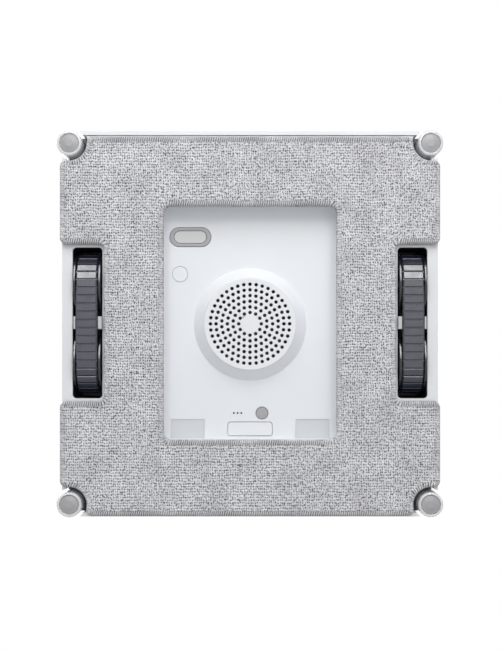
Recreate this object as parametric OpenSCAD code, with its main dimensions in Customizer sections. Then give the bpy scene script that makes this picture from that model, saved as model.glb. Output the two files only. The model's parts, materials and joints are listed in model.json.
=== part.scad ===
// Window cleaning robot: a square suction casing with a microfibre pad frame,
// two rubber tracks in deep wells and four corner guide rollers.
// The glass is the plane z = 0 and the robot stands on it with its handle up.

/* [Casing] */
// Width of the casing across the tracks
body_w = 238.4; // [230:0.2:250]
// Length of the casing along the tracks
body_l = 244.4; // [236:0.2:256]
// Corner radius of the casing in plan
body_corner_r = 11; // [10:0.5:12]
// Thickness of the casing walls
wall = 2.4; // [1.8:0.1:3]
// Height of the casing's lowest rim above the glass
skirt_z = 5.2; // [5.1:0.1:6.5]
// Height of the underside of the base floor
base_z = 7.4; // [7:0.1:9]
// Thickness of the base floor
floor_t = 2.4; // [1.8:0.1:3]
// Height of the joint between base tray and top cover
split_z = 40; // [37:1:42]
// Height of the top deck
deck_z = 68; // [66:1:78]
// Radius of the rounded edge of the deck
deck_edge_r = 10; // [5:1:12]
// How far the sides lean in from the joint to the deck
side_lean = 3; // [0:0.5:6]
// Width of the shadow groove between base tray and top cover
seam_gap = 0.8; // [0.4:0.1:1.2]

/* [Cleaning pad] */
// How far the pad stands out past each side of the casing
pad_out = 0.8; // [-2:0.1:2]
// How much shorter the pad is than the casing
pad_short = 5.1; // [3:0.1:10]
// Distance of the pad's middle from the casing's middle
pad_y = 1.75; // [0:0.1:3]
// Thickness of the pad
pad_t = 5; // [3:0.1:5]
// Radius of the arcs that clear the corner rollers
pad_corner_cut_r = 11.5; // [10:0.1:14]
// Rounding of the pad's outer corners
pad_round = 4; // [2:0.5:6]
// Width of the suction aperture
aperture_w = 109.4; // [100:0.2:116]
// Length of the suction aperture
aperture_l = 147.5; // [130:0.5:152]
// Corner radius of the suction aperture
aperture_r = 4.5; // [2:0.5:8]
// Distance of the aperture's middle from the casing's middle
aperture_y = -0.35; // [-2:0.05:2]
// Gap between the pad plate and the casing rim
plate_gap = 0.8; // [0.4:0.1:1.5]

/* [Tracks] */
// Distance of each track's middle plane from the casing's side
track_in = 16.1; // [14.5:0.1:18.5]
// Distance of the track's middle from the casing's middle
track_y = -0.6; // [-2:0.1:2]
// Distance between the two wheel axes of a track
wheel_base = 50; // [46:1:54]
// Radius of the belt over its ribs
belt_r = 20; // [18:0.5:20.5]
// Width of the belt
belt_w = 13.5; // [11:0.5:14]
// Thickness of the belt with its ribs
belt_t = 3; // [2.4:0.1:4]
// Number of ribs round the belt
rib_count = 44; // [30:2:60]
// Width of a groove between ribs
groove_w = 0.9; // [0.5:0.1:1.5]
// Depth of a groove between ribs
groove_d = 1; // [0.5:0.1:1.4]
// Width of a track well
well_w = 19; // [18:0.1:20]
// Room between the belt and each end of its well
well_end_gap = 2.9; // [2:0.1:4]
// Corner radius of a track well
well_r = 2.5; // [1:0.5:4]
// Wall of a track well
well_wall = 1.6; // [1.2:0.1:2]
// Room between the belt's side and a wheel flange
belt_side_gap = 0.4; // [0.3:0.05:0.6]
// Room between the belt's inside and a wheel drum
belt_inner_gap = 0.3; // [0.2:0.05:0.5]
// Thickness of a wheel flange
flange_t = 1.6; // [1:0.1:1.8]
// How far a wheel flange stays inside the belt's outer face
flange_drop = 0.4; // [0.2:0.1:1]
// Length along the track of the fixed frame between the wheels
frame_l = 8; // [5:0.5:9]
// Radius of the drive shafts
shaft_r = 2.5; // [2:0.25:3]
// Radius of the fixed idler axles
idler_axle_r = 2; // [1.5:0.25:3]
// Radius of a drive motor
drive_motor_r = 10; // [8:0.5:10]
// Length of a drive gearbox
gearbox_l = 13; // [10:0.5:14]
// Length of a drive motor
drive_motor_l = 16; // [12:0.5:18]

/* [Guide rollers] */
// Distance of each roller axis from the casing's side
roller_in_x = 4.7; // [3.5:0.1:7]
// Distance of each roller axis from the casing's front or rear
roller_in_y = 7.7; // [6.5:0.1:10]
// Radius of a guide roller
roller_r = 8; // [7:0.1:9]
// Height of a roller's lower end above the glass
roller_z = 3; // [2:0.1:4]
// Length of a guide roller
roller_h = 23; // [18:0.5:26]
// Radius of the disc that closes a roller's lower end
roller_cap_r = 6; // [5:0.05:6.6]
// Thickness of the roller's closing disc
roller_cap_t = 1.5; // [1:0.1:2.5]
// Radius of the fixed roller pins
roller_pin_r = 2.5; // [2:0.1:3.5]
// Room round a roller in its pocket
pocket_gap = 2; // [1.5:0.1:3]

/* [Centre panel] */
// Height of the recessed panel's face above the glass
panel_z = 15.5; // [14.5:0.1:17]
// Thickness of the panel
panel_t = 2.2; // [1.8:0.1:3]
// Width of the lip with which the panel lies on the aperture's wall
panel_lip = 4; // [3:0.25:4.5]
// Distance of the power button to the left of the centre line
power_x = 38.4; // [34:0.1:39]
// Distance of the power button in front of the middle
power_y = 56.1; // [53:0.1:60]
// Length of the power button's bezel
bezel_l = 26.6; // [22:0.2:30]
// Width of the power button's bezel
bezel_w = 12.3; // [10:0.1:14]
// Length of the power button
power_l = 20.6; // [16:0.2:20.8]
// Width of the power button
power_w = 7.6; // [6:0.1:7.8]
// Travel of the power button
power_travel = 1.2; // [0.6:0.1:1.8]
// Distance of the mode button to the right of the centre line
mode_x = 7.7; // [6:0.1:10]
// Distance of the mode button behind the middle
mode_y = 57.2; // [55:0.1:58]
// Radius of the mode button
mode_r = 3.7; // [3:0.1:4.5]
// Travel of the mode button
mode_travel = 0.8; // [0.4:0.1:1.2]
// Distance of the middle indicator lens to the left of the centre line
lens_x = 8; // [6:0.1:12]
// Radius of an indicator lens
lens_r = 0.55; // [0.4:0.05:0.8]
// Distance between indicator lenses
lens_pitch = 2.4; // [2:0.1:3]
// Distance of the round access plug to the left of the centre line
plug_x = 45; // [44:0.1:47]
// Distance of the round access plug in front of the middle
plug_y = 32.3; // [30:0.1:36]
// Radius of the round access plug
plug_r = 4.85; // [4:0.05:6]
// Distance of the service cover behind the middle
service_y = 67.4; // [66:0.1:68]
// Length of the service cover
service_l = 28.2; // [20:0.2:34]
// Width of the service cover
service_w = 8.5; // [6:0.1:9]
// Distance of each ramped finger notch from the centre line
notch_x = 40.15; // [34:0.05:41]
// Length of each finger notch
notch_l = 21.9; // [16:0.1:24]
// Width of each finger notch
notch_w = 12.6; // [8:0.1:14]

/* [Suction fan] */
// Radius of the grille dome at the panel
dome_r = 36.2; // [32:0.1:38]
// Radius of the grille dome's flat face
dome_face_r = 29.1; // [28:0.1:31]
// Height of the grille dome
dome_h = 9; // [6:0.1:10]
// Wall of the grille dome
dome_wall = 1.6; // [1.2:0.1:2]
// Radius of a hole in the grille
hole_r = 1.1; // [0.8:0.05:1.3]
// Distance between rings of holes
ring_pitch = 3.6; // [3.2:0.1:3.7]
// Radius of the impeller
impeller_r = 38; // [34:0.5:40]
// Height of the impeller's blades
blade_h = 11; // [8:0.5:12]
// Number of impeller blades
blade_count = 9; // [5:1:13]
// Radius of the fan motor
fan_motor_r = 17; // [14:0.5:20]
// Height of the fan motor
fan_motor_h = 13; // [10:0.5:14]
// Radius of the fan motor's shaft
fan_shaft_r = 2; // [1.5:0.1:2.5]

/* [Handle and deck] */
// Length of the carry handle
handle_l = 128; // [110:1:140]
// Width of the carry handle
handle_w = 25; // [20:0.5:30]
// Height of the whole robot
overall_h = 94; // [90:1:110]
// Thickness of the handle's bar
handle_bar_t = 10; // [8:0.5:13]
// Length along the handle of each of its legs
handle_leg = 12; // [9:0.5:16]
// Depth of the finger recess under the handle
finger_depth = 10; // [6:0.5:11]
// Width across the handle of the finger recess
finger_w = 62; // [50:1:66]
// Radius of the start button
start_r = 9; // [7:0.5:11]
// Travel of the start button
start_travel = 1.5; // [0.8:0.1:2]
// Width of the light ring round the start button
ring_w = 2.6; // [1.5:0.1:4]
// Radius of the plug bore in the power inlet
inlet_bore_r = 2.75; // [2.5:0.05:3.2]
// Depth of the plug bore in the power inlet
inlet_depth = 9; // [7:0.5:11]
// Radius of the eye for the safety rope
eye_r = 3.1; // [2.5:0.1:4]

/* [Fits] */
// Clearance between parts that turn or slide in each other
run_gap = 0.05; // [0.02:0.01:0.08]
// Clearance round buttons and flush covers
key_gap = 0.25; // [0.15:0.05:0.4]
// Wider gap that draws a line round the round key and the service cover
line_gap = 0.45; // [0.25:0.05:0.6]

/* [Hidden] */
$fn = 48;
// How far a cut runs past the face that it opens
over = 1;
// Number of segments in the corners of the deck's rounded edge
soft_fn = 32;

// Heights that follow from the driving sizes
axis_z = belt_r;
pad_w = body_w + 2 * pad_out;
pad_l = body_l - pad_short;
track_x = body_w / 2 - track_in;
roller_x = body_w / 2 - roller_in_x;
roller_y = body_l / 2 - roller_in_y;
floor_top = base_z + floor_t;
well_l = wheel_base + 2 * belt_r + 2 * well_end_gap;
well_top = 2 * belt_r + well_end_gap;
drive_y = track_y + wheel_base / 2;
idler_y = track_y - wheel_base / 2;
drum_r = belt_r - belt_t - belt_inner_gap;
flange_r = belt_r - flange_drop;
flange_x = belt_w / 2 + belt_side_gap;
pocket_r = roller_r + pocket_gap;
roller_end_gap = 1;
pocket_top = roller_z + roller_h + roller_end_gap;
panel_top = panel_z + panel_t;
deck_under = deck_z - wall;
// Gap between the aperture's wall and the pad's aperture, seen from below
aperture_step = 0.6;
aperture_wall = 2;
// Strip of the base that shows round each track well inside the pad's side cut
side_cut_r = 3;
side_cut_in = 1.3;
side_cut_end = 1.7;
side_cut_l = well_l + 2 * side_cut_end;
side_cut_x = track_x - well_w / 2 - side_cut_in;
collar_gap = 0.3;
// Casing screws
post_r = 4.5;
screw_r = 1.5;
screw_head_r = 3;
screw_head_t = 1.8;
screw_bite = 10;
post_place_shares = [[0.335, 0.41], [0.31, 0.255]];
post_places = [for (p = post_place_shares) [p[0] * body_w, p[1] * body_l]];
// Ears that hold the centre panel
ear_r = 4;
ear_out = 2.3;
ear_y_share = 0.393;
ear_places = [[aperture_w / 2 + panel_lip + ear_out, aperture_l * ear_y_share]];
// Fan housing
seal_t = 2;
seal_w = 3;
housing_gap = 6;
housing_wall = 2;
shroud_t = 1.5;
housing_r = impeller_r + housing_gap + housing_wall;
housing_z = panel_top + seal_t;
intake_r = dome_face_r + dome_wall / 2;
collar_wall = 1.5;
collar_fit = 0.2;
panel_hole_r = intake_r + collar_wall + collar_fit;
blade_lift = 2.3;
blade_z = housing_z + blade_lift;
blade_t = 1.4;
blade_lean = 50;
hub_r = 9;
back_t = 2;
back_z = blade_z + blade_h;
ceiling_gap = 1;
ceiling_z = back_z + back_t + ceiling_gap;
motor_z = ceiling_z + housing_wall;
motor_flange = 6;
motor_flange_t = 2;
motor_screw_count = 3;
duct_w = 24;
duct_z = housing_z + shroud_t;
vent_w = 40;
vent_h = 14;
vent_flange = 2;
vent_flange_t = 1.5;
vent_slot = 2.6;
vent_bar = 1.4;
vent_x = housing_r - duct_w / 2;
vent_z = (duct_z + motor_z) / 2;
duct_end = body_l / 2 - wall - vent_flange_t - collar_fit;
// Holes of the grille, ring by ring from the middle outwards
ring_counts = [12, 18, 24, 30, 36, 40];
first_ring = 2;
// Battery
cell_r = 9.2;
cell_l = 65;
cell_gap = 0.3;
holder_t = 1.4;
battery_y = -(body_l / 2 - wall + aperture_l / 2 - aperture_y + panel_lip) / 2;
// Keys and their switches
bezel_proud = 0.4;
bezel_flange = 2;
bezel_flange_t = 1;
key_rest = 0.3;
key_flange = 1;
key_flange_t = 1;
bridge_leg = 2;
bridge_t = 3;
switch_w = 6;
switch_h = 5;
bezel_top = panel_top + bezel_flange_t;
power_top = bezel_top + key_rest + key_flange_t;
mode_top = panel_top + key_rest + key_flange_t;
ledge_t = 0.7;
service_t = 1.3;
service_r = 1.6;
notch_start = 0.5;
notch_depth = 1.7;
lens_bar = 1.6;
// Board under the deck
board_w = 90;
board_l = 56;
board_t = 1.6;
board_in = 48.2;
board_y = body_l / 2 - board_in;
board_drop = 7.6;
board_z = deck_under - board_drop;
board_hole_in = 4;
standoff_r = 3;
chip_h = 2;
tact_w = 6;
tact_h = 1.7;
// Deck fittings
handle_r = 14;
handle_inner_r = 8;
handle_foot_gap = 2;
finger_l = handle_l - 2 * handle_leg - handle_foot_gap;
finger_r = 12;
grip_l = 72;
grip_w = 14;
grip_t = 1.2;
handle_screw_y = 6;
handle_screw_l = 14;
start_y = board_y;
start_proud = 0.6;
stem_r = 3;
ring_flange = 2;
ring_flange_t = 1;
inlet_x = 36;
inlet_in = 38.2;
inlet_y = inlet_in - body_l / 2;
inlet_barrel_r = 5.5;
inlet_flange_r = 8;
inlet_flange_t = 1.5;
inlet_nut_t = 2.5;
inlet_pin_r = 1;
inlet_floor_t = 2;
inlet_h = inlet_depth + inlet_floor_t;
anchor_in = 38.2;
anchor_y = anchor_in - body_l / 2;
anchor_w = 26;
anchor_l = 12;
anchor_t = 2;
anchor_lug_t = 6;
anchor_lug_r = 7;
anchor_eye_h = 9;
anchor_eye_z = deck_z + anchor_eye_h;
stud_r = 3;
nut_r = 5.5;
nut_t = 3;
nut_fn = 6;
// Track details
nose_r = 4;
bush_r = 4;
bush_flange = 1.2;
bush_flange_t = 1;
axle_head_r = 3.5;
axle_head_t = 1;
frame_rest = 0.5;
frame_tip = 1.5;
tab_t = 1.2;
hub_pocket_r = 12;
hub_pocket_t = 0.6;
clip_t = 1.5;
clip_w = 8;
clip_foot = 6;
clip_foot_t = 2.5;
// Feet of the track housings
foot_l = 6;
foot_t = 1.6;
foot_grip = 0.4;
// Roller details
roller_edge_r = 1.5;
roller_rest = 0.3;
roller_cap_gap = 0.35;
cap_dome_r = 18;
bracket_wall = 1.2;
bracket_roof = 4;
cup_z = 14;
bracket_inset = 0.4;
bracket_r = pocket_r + bracket_wall;
bracket_top = pocket_top + bracket_roof;

// Outline of a rectangle with round corners about the origin
module round_rect(w, l, r) {
    square([w - 2 * r, l], center = true);
    square([w, l - 2 * r], center = true);
    for (x = [-1, 1], y = [-1, 1]) {
        translate([x * (w / 2 - r), y * (l / 2 - r)]) circle(r);
    }
}

// Outline of a slot with round ends, of overall length l and width w
module stadium(l, w) {
    square([l - w, w], center = true);
    for (x = [-1, 1]) {
        translate([x * (l - w) / 2, 0]) circle(w / 2);
    }
}

// Cylinder along X from x0 to x1
module rod_x(r, x0, x1) {
    translate([x0, 0, 0]) rotate([0, 90, 0]) cylinder(r = r, h = x1 - x0);
}

// Copies of the children in all four corners
module in_corners(x, y) {
    for (sx = [-1, 1], sy = [-1, 1]) {
        translate([sx * x, sy * y, 0]) children();
    }
}

// The children, built for the right side, on the left or the right
module on_side(side) {
    mirror([side < 0 ? 1 : 0, 0, 0]) children();
}

// Outline of the casing in plan, drawn in by inset
module casing_outline(inset = 0) {
    round_rect(body_w - 2 * inset, body_l - 2 * inset, body_corner_r - inset);
}

// What the side cuts take out of the pad and its plate
module side_cuts(gap = 0) {
    cut_w = body_w / 2 - side_cut_x + over + side_cut_r;
    for (s = [-1, 1]) {
        on_side(s) translate([side_cut_x - gap + cut_w / 2, track_y])
            round_rect(cut_w, side_cut_l + 2 * gap, side_cut_r);
    }
}

// Outline of a frame of width w and length l that leaves out the aperture, tracks and rollers
module frame_outline(w, l, y, gap) {
    difference() {
        translate([0, y]) round_rect(w, l, pad_round);
        translate([0, aperture_y])
            round_rect(aperture_w + 2 * gap, aperture_l + 2 * gap, aperture_r + gap);
        side_cuts(gap);
        for (sx = [-1, 1], sy = [-1, 1]) {
            translate([sx * roller_x, sy * roller_y]) circle(pad_corner_cut_r + gap);
            translate([sx * (roller_x + pad_corner_cut_r / 2), sy * (roller_y + pad_corner_cut_r)])
                square([pad_corner_cut_r, 2 * pad_corner_cut_r], center = true);
            translate([sx * (roller_x + pad_corner_cut_r), sy * (roller_y + pad_corner_cut_r / 2)])
                square([2 * pad_corner_cut_r, pad_corner_cut_r], center = true);
        }
    }
}

// Microfibre pad frame that wipes the glass
module cleaning_pad() {
    color("#b8b8bd") linear_extrude(pad_t)
        offset(r = pad_round, $fn = soft_fn) offset(delta = -pad_round)
            frame_outline(pad_w, pad_l, pad_y, 0);
}

// Hook plate that the pad clings to
module pad_plate() {
    plate_w = body_w - 2 * (wall + plate_gap);
    plate_l = body_l - 2 * (wall + plate_gap);
    color("#d9dadd") translate([0, 0, pad_t]) linear_extrude(base_z - pad_t)
        frame_outline(plate_w, plate_l, 0, collar_gap);
}

// Bottom collar that fills the pad's side cut round a track well
module well_collar() {
    collar_w = body_w / 2 - side_cut_x;
    translate([side_cut_x, track_y - side_cut_l / 2, skirt_z]) cube([collar_w, side_cut_l, floor_top - skirt_z]);
}

// Both ends of a track well, where its housing stands on the base floor
module housing_ends() {
    for (e = [-1, 1]) {
        translate([track_x, track_y + e * (well_l / 2 + well_wall + foot_l / 2), 0]) children();
    }
}

// What one track takes out of the base: the opening, the seat of its housing and its screw holes
module well_cuts() {
    translate([track_x, track_y, skirt_z - over])
        linear_extrude(base_z - skirt_z + 2 * over) round_rect(well_w, well_l, well_r);
    translate([track_x, track_y, base_z]) linear_extrude(floor_t + over)
        round_rect(well_w + 2 * (well_wall + run_gap), well_l + 2 * (well_wall + run_gap),
            well_r + well_wall + run_gap);
    housing_ends() translate([0, 0, base_z + foot_grip]) cylinder(r = screw_r + run_gap, h = floor_t);
}

// Black housing of one track, with the bores for its axles
module track_housing(side) {
    wall_in = track_x - well_w / 2 - well_wall - over;
    wall_out = track_x + well_w / 2 + well_wall + over;
    color("#1d1e20") on_side(side) difference() {
        union() {
            translate([track_x, track_y, base_z]) linear_extrude(well_top + well_wall - base_z)
                round_rect(well_w + 2 * well_wall, well_l + 2 * well_wall, well_r + well_wall);
            translate([track_x, track_y, floor_top]) linear_extrude(foot_t)
                round_rect(well_w, well_l + 2 * (well_wall + foot_l), well_r);
        }
        translate([track_x, track_y, base_z - over])
            linear_extrude(well_top - base_z + over) round_rect(well_w, well_l, well_r);
        translate([0, drive_y, axis_z]) rod_x(nose_r + run_gap, wall_in, track_x);
        translate([0, drive_y, axis_z]) rod_x(bush_r + run_gap, track_x, wall_out);
        translate([0, idler_y, axis_z]) rod_x(idler_axle_r + run_gap, wall_in, wall_out);
        housing_ends() translate([0, 0, floor_top - over]) cylinder(r = screw_r + run_gap, h = foot_t + 2 * over);
    }
}

// Screws that hold the track housings to the base floor
module housing_screws() {
    color("#9a9da1") for (s = [-1, 1]) {
        on_side(s) housing_ends() translate([0, 0, floor_top + foot_t])
            screw_down(foot_t + floor_t - 2 * foot_grip);
    }
}

// Lower shell with the track openings, roller pockets, aperture wall and screw posts
module base_tray() {
    color("#e4e6ea") difference() {
        union() {
            difference() {
                translate([0, 0, skirt_z]) linear_extrude(split_z - skirt_z) casing_outline();
                translate([0, 0, floor_top]) linear_extrude(split_z) casing_outline(wall);
                translate([0, 0, skirt_z - over]) linear_extrude(base_z - skirt_z + over)
                    casing_outline(wall);
            }
            for (s = [-1, 1]) {
                on_side(s) well_collar();
            }
            translate([0, aperture_y, base_z]) linear_extrude(panel_z - base_z)
                round_rect(aperture_w + 2 * (aperture_step + aperture_wall),
                    aperture_l + 2 * (aperture_step + aperture_wall), aperture_r + aperture_wall);
            intersection() {
                in_corners(roller_x, roller_y) translate([0, 0, base_z])
                    cylinder(r = bracket_r + wall, h = bracket_top + wall - base_z);
                linear_extrude(split_z) casing_outline();
            }
            for (p = post_places) {
                in_corners(p[0], p[1]) translate([0, 0, base_z]) cylinder(r = post_r, h = split_z - base_z);
            }
            for (p = ear_places) {
                in_corners(p[0], p[1]) translate([0, 0, base_z]) cylinder(r = ear_r, h = panel_z - base_z);
            }
        }
        translate([0, aperture_y, 0]) linear_extrude(panel_z + over)
            round_rect(aperture_w + 2 * aperture_step, aperture_l + 2 * aperture_step,
                aperture_r + aperture_step);
        for (s = [-1, 1]) {
            on_side(s) well_cuts();
        }
        in_corners(roller_x, roller_y) cylinder(r = pocket_r, h = bracket_top);
        in_corners(roller_x, roller_y) translate([0, 0, cup_z])
            cylinder(r = bracket_r + run_gap, h = bracket_top - cup_z);
        intersection() {
            in_corners(roller_x, roller_y) cylinder(r = bracket_r + run_gap, h = cup_z + over);
            linear_extrude(split_z) casing_outline(wall);
        }
        for (p = post_places) {
            in_corners(p[0], p[1]) cylinder(r = screw_r + run_gap, h = split_z + over);
            in_corners(p[0], p[1]) cylinder(r = screw_head_r + key_gap, h = base_z + screw_head_t);
        }
        for (p = ear_places) {
            in_corners(p[0], p[1]) translate([0, 0, floor_top])
                cylinder(r = screw_r + run_gap, h = panel_z);
        }
        translate([vent_x, body_l / 2, vent_z]) cube([vent_w, 2 * (wall + over), vent_h], center = true);
        translate([0, 0, split_z - seam_gap]) linear_extrude(seam_gap + over) difference() {
            casing_outline(-over);
            casing_outline(seam_gap);
        }
    }
}

// Black cups at the top of the roller pockets, which carry the roller pins
module roller_brackets() {
    color("#1d1e20") difference() {
        intersection() {
            in_corners(roller_x, roller_y) translate([0, 0, cup_z])
                cylinder(r = bracket_r, h = bracket_top - cup_z);
            linear_extrude(split_z) casing_outline(bracket_inset);
        }
        in_corners(roller_x, roller_y) cylinder(r = pocket_r, h = pocket_top);
        in_corners(roller_x, roller_y)
            cylinder(r = roller_pin_r + run_gap, h = bracket_top - roller_rest);
    }
}

// Ramp that a finger follows to lift the pad's edge: shallow at its start, deep at its end
module finger_notch() {
    rotate([90, 0, 90]) translate([0, 0, -notch_l / 2]) linear_extrude(notch_l)
        polygon([[-notch_w / 2, notch_start], [-notch_w / 2, -over], [notch_w / 2, -over],
            [notch_w / 2, notch_depth]]);
}

// Recessed panel round the fan grille with its keys, covers and finger notches
module centre_panel() {
    color("#e3e6ea") difference() {
        translate([0, 0, panel_z]) union() {
            translate([0, aperture_y, 0]) linear_extrude(panel_t)
                round_rect(aperture_w + 2 * panel_lip, aperture_l + 2 * panel_lip,
                    aperture_r + panel_lip);
            for (p = ear_places) {
                in_corners(p[0], p[1]) cylinder(r = ear_r, h = panel_t);
            }
        }
        cylinder(r = panel_hole_r, h = panel_top + over);
        for (p = ear_places) {
            in_corners(p[0], p[1]) cylinder(r = screw_r + run_gap, h = panel_top + over);
        }
        translate([-power_x, -power_y, 0]) linear_extrude(panel_top + over)
            stadium(bezel_l + 2 * key_gap, bezel_w + 2 * key_gap);
        translate([mode_x, mode_y, 0]) cylinder(r = mode_r + line_gap, h = panel_top + over);
        for (i = [-1:1]) {
            translate([-lens_x + i * lens_pitch, mode_y, 0])
                cylinder(r = lens_r + run_gap, h = panel_top + over);
        }
        translate([-plug_x, -plug_y, 0]) cylinder(r = plug_r + key_gap, h = panel_top - ledge_t);
        translate([0, service_y, 0]) linear_extrude(panel_z + service_t)
            round_rect(service_l + 2 * line_gap, service_w + 2 * line_gap, service_r + line_gap);
        for (s = [-1, 1]) {
            translate([s * notch_x, service_y, panel_z]) finger_notch();
        }
    }
}

// Perforated dome over the fan intake
module fan_grille() {
    face_z = panel_z - dome_h;
    color("#e6e9ec") difference() {
        rotate_extrude() polygon([
            [0, face_z], [dome_face_r, face_z], [dome_r, panel_z],
            [intake_r + collar_wall, panel_z], [intake_r + collar_wall, panel_top],
            [intake_r, panel_top], [intake_r, panel_z],
            [dome_face_r - dome_wall / 2, face_z + dome_wall], [0, face_z + dome_wall]]);
        for (ring = [0:len(ring_counts) - 1]) {
            for (k = [0:ring_counts[ring] - 1]) {
                rotate([0, 0, -90 + 360 * k / ring_counts[ring]])
                    translate([(first_ring + ring) * ring_pitch, 0, 0])
                        cylinder(r = hole_r, h = panel_z);
            }
        }
    }
}

// Rubber ring between the panel and the fan housing
module fan_seal() {
    color("#3a3b3f") translate([0, 0, panel_top]) difference() {
        cylinder(r = housing_r, h = seal_t);
        translate([0, 0, -over]) cylinder(r = housing_r - seal_w, h = seal_t + 2 * over);
    }
}

// Round fan housing with the duct that leads to the rear vent
module fan_housing() {
    color("#c9ccd1") difference() {
        union() {
            translate([0, 0, housing_z]) cylinder(r = housing_r, h = motor_z - housing_z);
            translate([housing_r - duct_w, 0, duct_z]) cube([duct_w, duct_end, motor_z - duct_z]);
        }
        translate([0, 0, duct_z]) cylinder(r = housing_r - housing_wall, h = ceiling_z - duct_z);
        translate([0, 0, housing_z - over]) cylinder(r = intake_r, h = seal_t + shroud_t + over);
        translate([housing_r - duct_w + housing_wall, 0, duct_z + housing_wall])
            cube([duct_w - 2 * housing_wall, duct_end + over, ceiling_z - duct_z - housing_wall]);
        cylinder(r = 2 * fan_shaft_r, h = motor_z + over);
        for (k = [0:motor_screw_count - 1]) {
            rotate([0, 0, 360 * k / motor_screw_count])
                translate([fan_motor_r + motor_flange / 2, 0, 0])
                    cylinder(r = screw_r + run_gap, h = motor_z + over);
        }
    }
}

// Centrifugal impeller with leaning blades
module impeller() {
    blade_l = (impeller_r - hub_r) / cos(blade_lean) * hub_r / impeller_r + (impeller_r - hub_r) / 2;
    color("#50545b") difference() {
        union() {
            translate([0, 0, back_z]) cylinder(r = impeller_r, h = back_t);
            translate([0, 0, blade_z]) cylinder(r = hub_r, h = blade_h);
            intersection() {
                for (k = [0:blade_count - 1]) {
                    rotate([0, 0, 360 * k / blade_count]) translate([hub_r, 0, blade_z])
                        rotate([0, 0, blade_lean]) translate([-blade_t, -blade_t / 2, 0])
                            cube([blade_l + impeller_r / 2, blade_t, blade_h + back_t / 2]);
                }
                cylinder(r = impeller_r, h = back_z + back_t);
            }
        }
        cylinder(r = fan_shaft_r + run_gap, h = back_z + back_t + over);
    }
}

// Steel shaft that carries the impeller in the motor
module fan_shaft() {
    color("#b9bcc0") translate([0, 0, blade_z]) cylinder(r = fan_shaft_r, h = motor_z + fan_motor_h - blade_z);
}

// Brushless fan motor on the housing
module fan_motor() {
    color("#8d9197") difference() {
        translate([0, 0, motor_z]) union() {
            cylinder(r = fan_motor_r, h = fan_motor_h);
            cylinder(r = fan_motor_r + motor_flange, h = motor_flange_t);
        }
        cylinder(r = fan_shaft_r + run_gap, h = motor_z + fan_motor_h + over);
        for (k = [0:motor_screw_count - 1]) {
            rotate([0, 0, 360 * k / motor_screw_count])
                translate([fan_motor_r + motor_flange / 2, 0, 0])
                    cylinder(r = screw_r + run_gap, h = motor_z + fan_motor_h);
        }
    }
}

// A screw that points down, its head's underside at z = 0
module screw_down(length) {
    translate([0, 0, -length]) cylinder(r = screw_r, h = length);
    cylinder(r = screw_head_r, h = screw_head_t);
}

// Screws that hold the fan motor
module motor_screws() {
    color("#9a9da1") for (k = [0:motor_screw_count - 1]) {
        rotate([0, 0, 360 * k / motor_screw_count])
            translate([fan_motor_r + motor_flange / 2, 0, motor_z + motor_flange_t])
                screw_down(motor_flange_t + housing_wall);
    }
}

// Screws that hold the centre panel in its ears
module panel_screws() {
    color("#9a9da1") for (p = ear_places) {
        in_corners(p[0], p[1]) translate([0, 0, panel_top])
            screw_down(panel_top - floor_top - roller_end_gap);
    }
}

// Screws that close the casing from below
module casing_screws() {
    color("#9a9da1") for (p = post_places) {
        in_corners(p[0], p[1]) translate([0, 0, base_z + screw_head_t])
            mirror([0, 0, 1]) screw_down(split_z + screw_bite - base_z - screw_head_t);
    }
}

// Bezel that frames the power button in the panel
module power_bezel() {
    color("#a9aaad") translate([-power_x, -power_y, 0]) difference() {
        union() {
            translate([0, 0, panel_z - bezel_proud]) linear_extrude(bezel_top - panel_z + bezel_proud)
                stadium(bezel_l, bezel_w);
            translate([0, 0, panel_top]) linear_extrude(bezel_flange_t)
                stadium(bezel_l + 2 * bezel_flange, bezel_w + 2 * bezel_flange);
        }
        linear_extrude(bezel_top + over) stadium(power_l + 2 * key_gap, power_w + 2 * key_gap);
    }
}

// Power button, pressed inwards
module power_button() {
    color("#c4c5c8") translate([-power_x, -power_y, 0]) {
        translate([0, 0, panel_z - bezel_proud]) linear_extrude(power_top - panel_z + bezel_proud)
            stadium(power_l, power_w);
        translate([0, 0, power_top - key_flange_t]) linear_extrude(key_flange_t)
            stadium(power_l + 2 * key_flange, power_w + 2 * key_flange);
    }
}

// Switch on a bridge that stands on the panel over a key
module switch_bridge(span, foot_z, clear_z) {
    translate([0, 0, clear_z + bridge_t / 2]) cube([span, switch_w, bridge_t], center = true);
    translate([0, 0, clear_z + bridge_t + switch_h / 2]) cube([switch_w, switch_w, switch_h], center = true);
    for (s = [-1, 1]) {
        translate([s * (span - bridge_leg) / 2, 0, (foot_z + clear_z + bridge_t) / 2])
            cube([bridge_leg, switch_w, clear_z + bridge_t - foot_z], center = true);
    }
}

// Switch behind the power button
module power_switch() {
    color("#2d2e31") translate([-power_x, -power_y, 0])
        switch_bridge(bezel_l + 2 * (bezel_flange + bridge_leg) + 2 * key_gap, panel_top,
            power_top + power_travel + key_rest);
}

// Round mode button, pressed inwards
module mode_button() {
    color("#adaeb2") translate([mode_x, mode_y, 0]) {
        translate([0, 0, panel_z]) cylinder(r = mode_r, h = mode_top - panel_z);
        translate([0, 0, mode_top - key_flange_t]) cylinder(r = mode_r + key_flange, h = key_flange_t);
    }
}

// Switch behind the mode button
module mode_switch() {
    color("#2d2e31") translate([mode_x, mode_y, 0])
        switch_bridge(2 * (mode_r + key_flange + bridge_leg + key_gap), panel_top,
            mode_top + mode_travel + key_rest);
}

// Light guide with three round indicator lenses
module indicator_lenses() {
    color("#6d7075") translate([-lens_x, mode_y, 0]) {
        for (i = [-1:1]) {
            translate([i * lens_pitch, 0, panel_z]) cylinder(r = lens_r, h = panel_t + lens_bar / 2);
        }
        translate([0, 0, panel_top + lens_bar / 2])
            cube([2 * lens_pitch + 2 * lens_bar, 2 * lens_bar, lens_bar], center = true);
    }
}

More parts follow.
